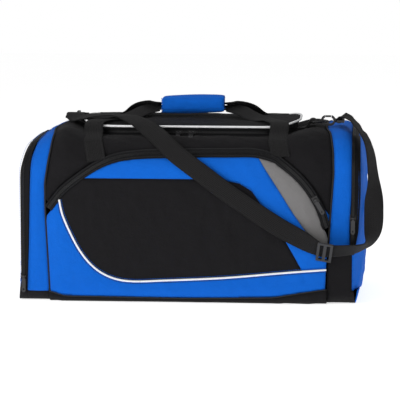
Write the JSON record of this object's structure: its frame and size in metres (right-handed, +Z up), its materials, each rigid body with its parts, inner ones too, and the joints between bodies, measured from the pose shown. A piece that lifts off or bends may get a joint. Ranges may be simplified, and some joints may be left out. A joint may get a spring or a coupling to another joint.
{
  "type": "duffel bag",
  "caption": "Boxy sports duffel bag with a zipped lid, arched front pocket, zipped end pockets, webbing carry handles with a padded wrap and a clip-on shoulder strap.",
  "frame": {"origin": "centre of the base, on the ground", "axes": "+Z up, +X along the bag towards the viewer's right, -Y out of the front pocket"},
  "size_m": [0.626, 0.3273, 0.338],
  "materials": {
    "black_polyester": "matte",
    "blue_polyester": "matte",
    "grey_polyester": "matte",
    "white_piping": "satin",
    "zip_tape": "matte",
    "black_webbing": "matte",
    "grip_fabric": "matte",
    "slider_metal": "satin",
    "puller_metal": "satin",
    "ring_metal": "satin",
    "moulded_plastic": "satin",
    "base_board": "matte",
    "lining": "matte"
  },
  "bodies": {
    "bag": {"base_panel": "black_polyester", "base_board": "base_board", "front_wall": "black_polyester", "back_wall": "black_polyester", "front_yoke": "black_polyester", "back_yoke": "black_polyester", "left_end_yoke": "black_polyester", "right_end_yoke": "black_polyester", "left_divider": "lining", "right_divider": "lining", "mouth_zip_tape": "zip_tape", "pocket_black_panel": "black_polyester", "pocket_blue_base": "blue_polyester", "pocket_blue_band": "blue_polyester", "pocket_grey_panel": "grey_polyester", "pocket_piping": "white_piping", "pocket_zip_tape": "zip_tape", "pocket_zip_upper": "zip_tape", "left_gusset": "blue_polyester", "left_gusset_base": "black_polyester", "left_gusset_zip_tape": "zip_tape", "right_gusset": "blue_polyester", "right_gusset_base": "black_polyester", "right_gusset_zip_tape": "zip_tape", "handle_legs": "black_webbing", "ring_tabs": "black_webbing", "left_ring": "ring_metal", "right_ring": "ring_metal", "left_hook": "moulded_plastic", "right_hook": "moulded_plastic", "shoulder_strap": "black_webbing", "strap_adjuster": "moulded_plastic"},
    "lid": {"lid_panel": "black_polyester", "lid_piping": "white_piping", "lid_zip_tape": "zip_tape"},
    "front_handle": {"front_handle_webbing": "black_webbing", "grip_wrap": "grip_fabric"},
    "back_handle": {"back_handle_webbing": "black_webbing"},
    "left_flap": {"left_flap_panel": "blue_polyester", "left_flap_zip_tape": "zip_tape"},
    "right_flap": {"right_flap_panel": "blue_polyester", "right_flap_zip_tape": "zip_tape"},
    "lid_slider_left": {"lid_slider_left": "slider_metal"},
    "lid_slider_right": {"lid_slider_right": "slider_metal"},
    "pocket_slider": {"pocket_slider": "slider_metal"},
    "left_end_slider": {"left_end_slider": "slider_metal"},
    "right_end_slider": {"right_end_slider": "slider_metal"},
    "lid_puller_left": {"lid_puller_left": "puller_metal"},
    "lid_puller_right": {"lid_puller_right": "puller_metal"},
    "pocket_puller": {"pocket_puller": "puller_metal"},
    "left_end_puller": {"left_end_puller": "puller_metal"},
    "right_end_puller": {"right_end_puller": "puller_metal"},
    "left_hook_gate": {"left_hook_gate": "moulded_plastic"},
    "right_hook_gate": {"right_hook_gate": "moulded_plastic"}
  },
  "joints": [
    {"name": "lid_hinge", "type": "hinge", "parent": "bag", "child": "lid", "pos_m": [0, 0.088, 0.289], "axis": [-1, 0, 0], "range_deg": [0, 100], "deforming": ["shoulder_strap"]},
    {"name": "front_handle_swing", "type": "hinge", "parent": "bag", "child": "front_handle", "pos_m": [0, -0.112, 0.2735], "axis": [1, 0, 0], "range_deg": [0, 200], "deforming": ["front_handle_webbing"]},
    {"name": "back_handle_swing", "type": "hinge", "parent": "bag", "child": "back_handle", "pos_m": [0, 0.112, 0.2735], "axis": [-1, 0, 0], "range_deg": [0, 200], "deforming": ["back_handle_webbing"]},
    {"name": "left_flap_hinge", "type": "hinge", "parent": "bag", "child": "left_flap", "pos_m": [-0.299, 0, 0.024], "axis": [0, -1, 0], "range_deg": [0, 85]},
    {"name": "right_flap_hinge", "type": "hinge", "parent": "bag", "child": "right_flap", "pos_m": [0.299, 0, 0.024], "axis": [0, 1, 0], "range_deg": [0, 85]},
    {"name": "lid_slider_left_slide", "type": "slide", "parent": "bag", "child": "lid_slider_left", "axis": [-1, 0, 0], "range_m": [0, 0.09]},
    {"name": "lid_slider_right_slide", "type": "slide", "parent": "bag", "child": "lid_slider_right", "axis": [1, 0, 0], "range_m": [0, 0.105]},
    {"name": "pocket_slider_travel", "type": "hinge", "parent": "bag", "child": "pocket_slider", "pos_m": [0.064, -0.15, 0.0925], "axis": [0, -1, 0], "range_deg": [0, 18]},
    {"name": "left_end_slider_slide", "type": "slide", "parent": "bag", "child": "left_end_slider", "axis": [0, 0, 1], "range_m": [0, 0.15]},
    {"name": "right_end_slider_slide", "type": "slide", "parent": "bag", "child": "right_end_slider", "axis": [0, 0, 1], "range_m": [0, 0.08]},
    {"name": "lid_puller_left_swing", "type": "hinge", "parent": "lid_slider_left", "child": "lid_puller_left", "pos_m": [-0.019, -0.0846, 0.2815], "axis": [-1, 0, 0], "range_deg": [0, 60]},
    {"name": "lid_puller_right_swing", "type": "hinge", "parent": "lid_slider_right", "child": "lid_puller_right", "pos_m": [0.003, -0.0846, 0.2815], "axis": [-1, 0, 0], "range_deg": [0, 60]},
    {"name": "pocket_puller_swing", "type": "hinge", "parent": "pocket_slider", "child": "pocket_puller", "pos_m": [0.21422, -0.1553, 0.17749], "axis": [-0.8704, 0, -0.4924], "range_deg": [0, 150]},
    {"name": "left_end_puller_swing", "type": "hinge", "parent": "left_end_slider", "child": "left_end_puller", "pos_m": [-0.2765, -0.1427, 0.042], "axis": [-1, 0, 0], "range_deg": [0, 150]},
    {"name": "right_end_puller_swing", "type": "hinge", "parent": "right_end_slider", "child": "right_end_puller", "pos_m": [0.2765, -0.1427, 0.146], "axis": [-1, 0, 0], "range_deg": [0, 150]},
    {"name": "left_gate_hinge", "type": "hinge", "parent": "bag", "child": "left_hook_gate", "pos_m": [-0.204, 0.0368, 0.3041], "axis": [-1, 0, 0], "range_deg": [0, 22], "stiffness_Nm_per_rad": 0.02},
    {"name": "right_gate_hinge", "type": "hinge", "parent": "bag", "child": "right_hook_gate", "pos_m": [0.2372, -0.045, 0.3071], "axis": [0, -1, 0], "range_deg": [0, 22], "stiffness_Nm_per_rad": 0.02}
  ],
  "couplings": [
    {"joint": "front_handle_swing", "follows": "lid_hinge", "ratio": 2},
    {"joint": "back_handle_swing", "follows": "lid_hinge", "ratio": 2}
  ]
}
